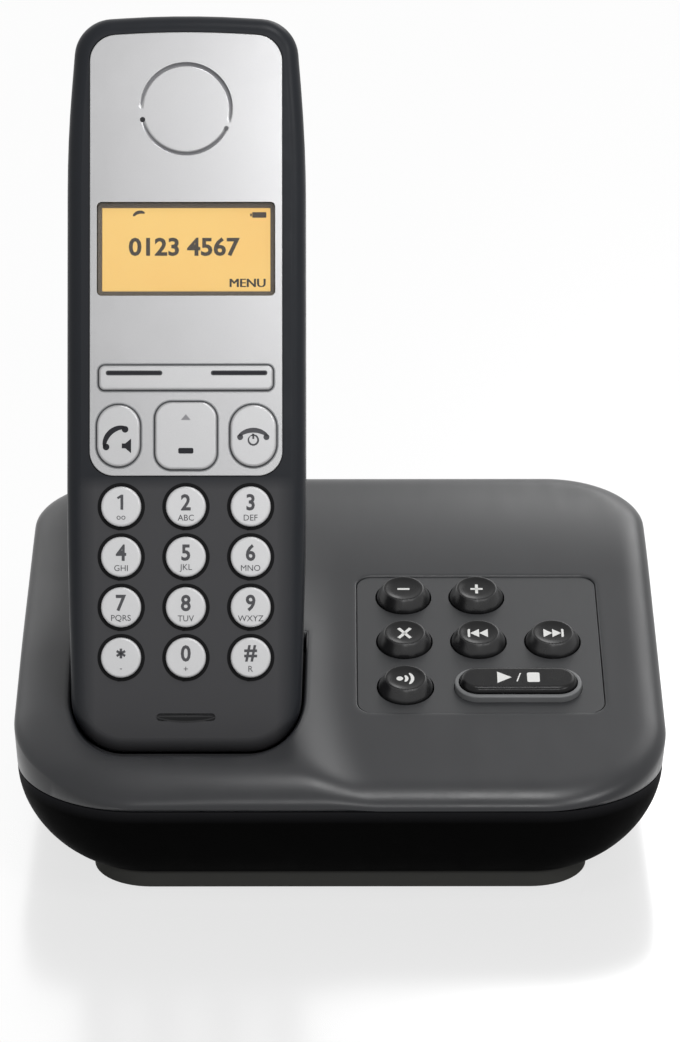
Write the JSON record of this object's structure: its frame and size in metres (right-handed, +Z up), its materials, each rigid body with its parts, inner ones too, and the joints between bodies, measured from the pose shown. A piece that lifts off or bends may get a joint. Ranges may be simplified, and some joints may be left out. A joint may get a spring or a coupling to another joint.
{
  "type": "answering machine",
  "caption": "Cordless phone base with built-in answering machine and push keys, its handset leaning in the charging cradle.",
  "frame": {"origin": "on the resting plane under the middle of the base", "axes": "+Z up, -Y towards the user at the front, +X to the right"},
  "size_m": [0.134, 0.118, 0.1611],
  "materials": {
    "housing_grey": "fine matt grain",
    "housing_black": "fine matt grain",
    "handset_dark": "satin",
    "silver_face": "satin silver paint",
    "silver_key": "satin silver paint",
    "clear_window": "clear",
    "amber_panel": "lit amber",
    "black_plastic": "matt",
    "base_key": "matt",
    "light_ring": "translucent",
    "keypad_rubber": "soft",
    "foot_rubber": "soft",
    "board_green": "solder mask",
    "plated_steel": "plated",
    "gold_contact": "polished",
    "cell_label": "printed sleeve",
    "cone_paper": "pressed paper"
  },
  "bodies": {
    "base": {"base_top_cover": "housing_grey", "base_bottom_cover": "housing_black", "rubber_feet": "foot_rubber", "base_screws": "plated_steel", "charging_cradle": "black_plastic", "charge_contact_holder": "black_plastic", "key_field_plate": "housing_grey", "play_key_light_ring": "light_ring", "base_key_mat": "keypad_rubber", "base_tact_switches": "plated_steel", "base_circuit_board": "board_green", "antennas": "gold_contact", "loudspeaker_frame": "plated_steel", "loudspeaker_cone": "cone_paper", "power_socket": "black_plastic", "phone_line_socket": "black_plastic"},
    "handset": {"handset_front_shell": "handset_dark", "handset_rear_shell": "handset_dark", "silver_fascia": "silver_face", "earpiece_disc": "silver_face", "display_window": "clear_window", "display_panel": "amber_panel", "display_frame": "black_plastic", "handset_keypad_mat": "keypad_rubber", "handset_circuit_board": "board_green", "dome_switches": "plated_steel", "earpiece_speaker": "black_plastic", "microphone_capsule": "plated_steel", "ringer_speaker": "black_plastic", "battery_cell_left": "cell_label", "battery_cell_right": "cell_label", "battery_contacts": "plated_steel", "handset_charge_contacts": "gold_contact", "handset_screws": "plated_steel"},
    "key_1": {"key_1": "silver_key"},
    "key_2": {"key_2": "silver_key"},
    "key_3": {"key_3": "silver_key"},
    "key_4": {"key_4": "silver_key"},
    "key_5": {"key_5": "silver_key"},
    "key_6": {"key_6": "silver_key"},
    "key_7": {"key_7": "silver_key"},
    "key_8": {"key_8": "silver_key"},
    "key_9": {"key_9": "silver_key"},
    "key_star": {"key_star": "silver_key"},
    "key_0": {"key_0": "silver_key"},
    "key_hash": {"key_hash": "silver_key"},
    "talk_key": {"talk_key": "silver_key"},
    "end_key": {"end_key": "silver_key"},
    "navigation_key": {"navigation_key": "silver_key"},
    "display_rocker": {"display_rocker": "silver_key"},
    "volume_down_key": {"volume_down_key": "base_key"},
    "volume_up_key": {"volume_up_key": "base_key"},
    "delete_key": {"delete_key": "base_key"},
    "skip_back_key": {"skip_back_key": "base_key"},
    "skip_forward_key": {"skip_forward_key": "base_key"},
    "paging_key": {"paging_key": "base_key"},
    "play_stop_key": {"play_stop_key": "base_key"},
    "charge_pin_left": {"charge_pin_left": "gold_contact"},
    "charge_pin_right": {"charge_pin_right": "gold_contact"},
    "battery_door": {"battery_door": "handset_dark"}
  },
  "joints": [
    {"name": "handset_lift", "type": "slide", "parent": "base", "child": "handset", "axis": [0, 0.4123, 0.911], "range_m": [0, 0.08]},
    {"name": "key_1_press", "type": "slide", "parent": "handset", "child": "key_1", "axis": [0, 0.911, -0.4123], "range_m": [0, 0.0008], "stiffness_N_per_m": 900},
    {"name": "key_2_press", "type": "slide", "parent": "handset", "child": "key_2", "axis": [0, 0.911, -0.4123], "range_m": [0, 0.0008], "stiffness_N_per_m": 900},
    {"name": "key_3_press", "type": "slide", "parent": "handset", "child": "key_3", "axis": [0, 0.911, -0.4123], "range_m": [0, 0.0008], "stiffness_N_per_m": 900},
    {"name": "key_4_press", "type": "slide", "parent": "handset", "child": "key_4", "axis": [0, 0.911, -0.4123], "range_m": [0, 0.0008], "stiffness_N_per_m": 900},
    {"name": "key_5_press", "type": "slide", "parent": "handset", "child": "key_5", "axis": [0, 0.911, -0.4123], "range_m": [0, 0.0008], "stiffness_N_per_m": 900},
    {"name": "key_6_press", "type": "slide", "parent": "handset", "child": "key_6", "axis": [0, 0.911, -0.4123], "range_m": [0, 0.0008], "stiffness_N_per_m": 900},
    {"name": "key_7_press", "type": "slide", "parent": "handset", "child": "key_7", "axis": [0, 0.911, -0.4123], "range_m": [0, 0.0008], "stiffness_N_per_m": 900},
    {"name": "key_8_press", "type": "slide", "parent": "handset", "child": "key_8", "axis": [0, 0.911, -0.4123], "range_m": [0, 0.0008], "stiffness_N_per_m": 900},
    {"name": "key_9_press", "type": "slide", "parent": "handset", "child": "key_9", "axis": [0, 0.911, -0.4123], "range_m": [0, 0.0008], "stiffness_N_per_m": 900},
    {"name": "key_star_press", "type": "slide", "parent": "handset", "child": "key_star", "axis": [0, 0.911, -0.4123], "range_m": [0, 0.0008], "stiffness_N_per_m": 900},
    {"name": "key_0_press", "type": "slide", "parent": "handset", "child": "key_0", "axis": [0, 0.911, -0.4123], "range_m": [0, 0.0008], "stiffness_N_per_m": 900},
    {"name": "key_hash_press", "type": "slide", "parent": "handset", "child": "key_hash", "axis": [0, 0.911, -0.4123], "range_m": [0, 0.0008], "stiffness_N_per_m": 900},
    {"name": "talk_key_press", "type": "slide", "parent": "handset", "child": "talk_key", "axis": [0, 0.911, -0.4123], "range_m": [0, 0.0008], "stiffness_N_per_m": 900},
    {"name": "end_key_press", "type": "slide", "parent": "handset", "child": "end_key", "axis": [0, 0.911, -0.4123], "range_m": [0, 0.0008], "stiffness_N_per_m": 900},
    {"name": "navigation_key_rock", "type": "hinge", "parent": "handset", "child": "navigation_key", "pos_m": [-0.03155, -0.01277, 0.08262], "axis": [1, 0, 0], "range_deg": [-3, 3], "stiffness_Nm_per_rad": 0.05},
    {"name": "display_rocker_rock", "type": "hinge", "parent": "handset", "child": "display_rocker", "pos_m": [-0.03155, -0.00787, 0.09347], "axis": [0, 0.4123, 0.911], "range_deg": [-2.2, 2.2], "stiffness_Nm_per_rad": 0.1},
    {"name": "volume_down_key_press", "type": "slide", "parent": "base", "child": "volume_down_key", "axis": [0, 0.2233, -0.9748], "range_m": [0, 0.0008], "stiffness_N_per_m": 900},
    {"name": "volume_up_key_press", "type": "slide", "parent": "base", "child": "volume_up_key", "axis": [0, 0.2233, -0.9748], "range_m": [0, 0.0008], "stiffness_N_per_m": 900},
    {"name": "delete_key_press", "type": "slide", "parent": "base", "child": "delete_key", "axis": [0, 0.2233, -0.9748], "range_m": [0, 0.0008], "stiffness_N_per_m": 900},
    {"name": "skip_back_key_press", "type": "slide", "parent": "base", "child": "skip_back_key", "axis": [0, 0.2233, -0.9748], "range_m": [0, 0.0008], "stiffness_N_per_m": 900},
    {"name": "skip_forward_key_press", "type": "slide", "parent": "base", "child": "skip_forward_key", "axis": [0, 0.2233, -0.9748], "range_m": [0, 0.0008], "stiffness_N_per_m": 900},
    {"name": "paging_key_press", "type": "slide", "parent": "base", "child": "paging_key", "axis": [0, 0.2233, -0.9748], "range_m": [0, 0.0008], "stiffness_N_per_m": 900},
    {"name": "play_stop_key_press", "type": "slide", "parent": "base", "child": "play_stop_key", "axis": [0, 0.2233, -0.9748], "range_m": [0, 0.0008], "stiffness_N_per_m": 900},
    {"name": "charge_pin_left_press", "type": "slide", "parent": "base", "child": "charge_pin_left", "axis": [0, -0.4123, -0.911], "range_m": [0, 0.0008], "stiffness_N_per_m": 400},
    {"name": "charge_pin_right_press", "type": "slide", "parent": "base", "child": "charge_pin_right", "axis": [0, -0.4123, -0.911], "range_m": [0, 0.0008], "stiffness_N_per_m": 400},
    {"name": "battery_door_off", "type": "slide", "parent": "handset", "child": "battery_door", "axis": [0, 0.911, -0.4123], "range_m": [0, 0.01]}
  ]
}
